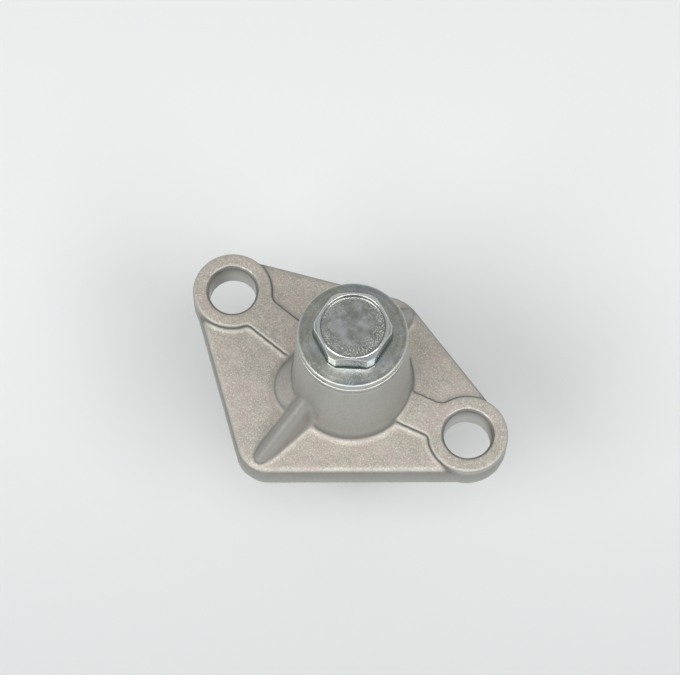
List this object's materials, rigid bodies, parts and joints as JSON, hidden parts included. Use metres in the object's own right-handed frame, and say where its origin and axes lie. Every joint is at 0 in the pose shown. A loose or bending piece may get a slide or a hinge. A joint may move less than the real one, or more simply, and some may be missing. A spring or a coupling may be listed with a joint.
{
  "type": "timing chain tensioner",
  "caption": "Screw-type chain tensioner: cast flanged housing with bolt lugs, ribbed boss and sealing plug, and a spring-driven plunger that pushes a chain guide.",
  "frame": {"origin": "where the barrel's axis meets the engine's mounting face", "axes": "+Z along the barrel's axis out of the engine, towards the sealing plug; +X from one mounting hole to the other"},
  "size_m": [0.0527, 0.0342, 0.0567],
  "materials": {
    "cast_aluminium": "shot-blasted die casting",
    "zinc_steel": "bright zinc plating over a forged head",
    "washer_metal": "smooth rolled",
    "hard_steel": "ground, lightly oiled",
    "spring_steel": "drawn wire",
    "plunger_steel": "turned, milled flats",
    "black_steel": "black oxide"
  },
  "bodies": {
    "housing": {"housing": "cast_aluminium", "seal_bolt": "zinc_steel", "seal_washer": "washer_metal", "thrust_seat": "hard_steel", "torsion_spring": "spring_steel", "spacer_tube": "hard_steel", "guide_plate": "plunger_steel", "snap_ring": "black_steel"},
    "screw": {"drive_screw": "hard_steel"},
    "plunger": {"plunger": "plunger_steel", "plunger_cap": "black_steel"}
  },
  "joints": [
    {"name": "screw_turn", "type": "hinge", "parent": "housing", "child": "screw", "pos_m": [0, 0, 0], "axis": [0, 0, -1], "range_deg": [0, 900], "stiffness_Nm_per_rad": 0.0005, "springref_deg": -1080.03, "deforming": ["torsion_spring"]},
    {"name": "plunger_slide", "type": "slide", "parent": "housing", "child": "plunger", "axis": [0, 0, 1], "range_m": [0, 0.01]}
  ],
  "couplings": [
    {"joint": "screw_turn", "follows": "plunger_slide", "rad_per_m": 1570.8}
  ]
}
